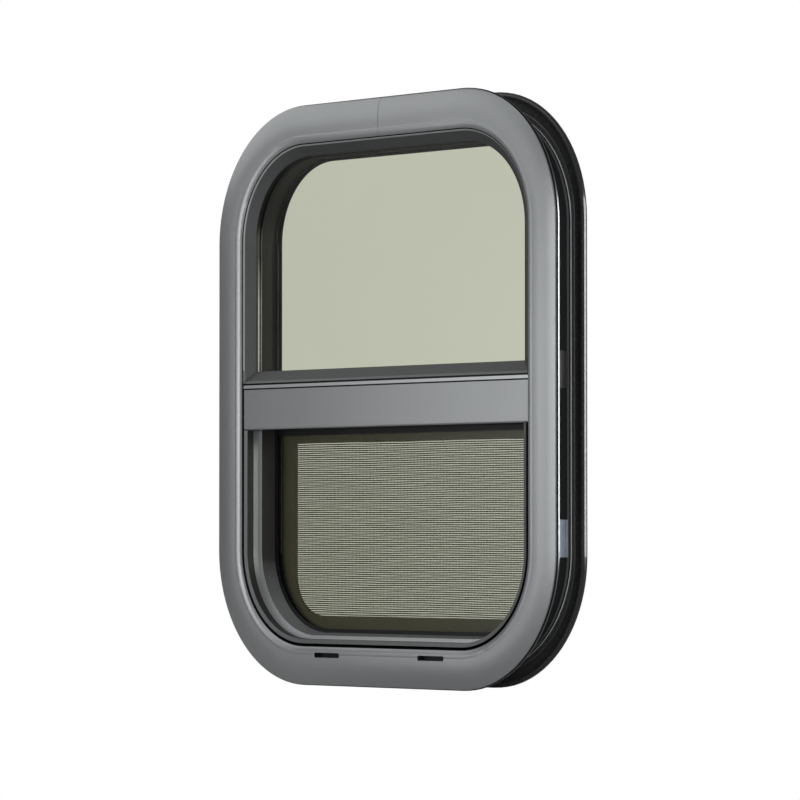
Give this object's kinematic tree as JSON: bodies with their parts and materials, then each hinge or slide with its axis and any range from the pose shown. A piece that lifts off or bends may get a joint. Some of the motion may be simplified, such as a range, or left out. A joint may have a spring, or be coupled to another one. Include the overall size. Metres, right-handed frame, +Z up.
{
  "type": "caravan window",
  "caption": "Radius-cornered caravan window with a bent metal frame, fixed upper pane, crossbar, vertical sliding lower pane, insect screen and inner clamp ring.",
  "frame": {"origin": "centre of the window in the plane where the flange's back face lies on the caravan's outer skin", "axes": "+Z up, +Y from outside into the room, +X to the right as seen from outside"},
  "size_m": [0.495, 0.0526, 0.571],
  "materials": {
    "frame_paint": "satin grey powder coat",
    "ring_paint": "gloss black",
    "bronze_paint": "satin dark bronze",
    "track_metal": "black anodised",
    "bare_metal": "mill finish",
    "screw_steel": "plated",
    "tinted_glass": "smooth, olive tint",
    "gasket": "matt",
    "bead": "satin dark grey",
    "pile": "short brushed pile",
    "clip_plastic": "moulded",
    "latch_plastic": "moulded black",
    "insect_mesh": "dark coated woven wire"
  },
  "bodies": {
    "root": {"outer_frame": "frame_paint", "frame_joint_plate": "bare_metal", "upper_glass": "tinted_glass", "upper_glass_gasket": "gasket", "upper_glazing_bead": "bead", "crossbar": "frame_paint", "crossbar_glazing_bead": "bead", "crossbar_end_keys": "clip_plastic", "crossbar_pile_seal": "pile", "lower_opening_bead": "bead", "head_channel": "track_metal", "side_track_left": "track_metal", "side_track_right": "track_metal", "sill_channel": "track_metal", "track_pile_left": "pile", "track_pile_right": "pile", "sliding_glass": "tinted_glass", "sash_rail": "track_metal", "sash_end_guides": "clip_plastic", "sash_pull": "bronze_paint", "sash_latch_left": "latch_plastic", "sash_latch_right": "latch_plastic", "screen_frame": "bronze_paint", "screen_mesh": "insect_mesh", "screen_spline": "gasket", "screen_pull_tabs": "latch_plastic", "screen_clips": "bare_metal", "trim_ring": "ring_paint", "trim_ring_screws": "screw_steel", "sleeve_clips_left": "clip_plastic", "sleeve_clips_right": "clip_plastic"}
  },
  "joints": []
}
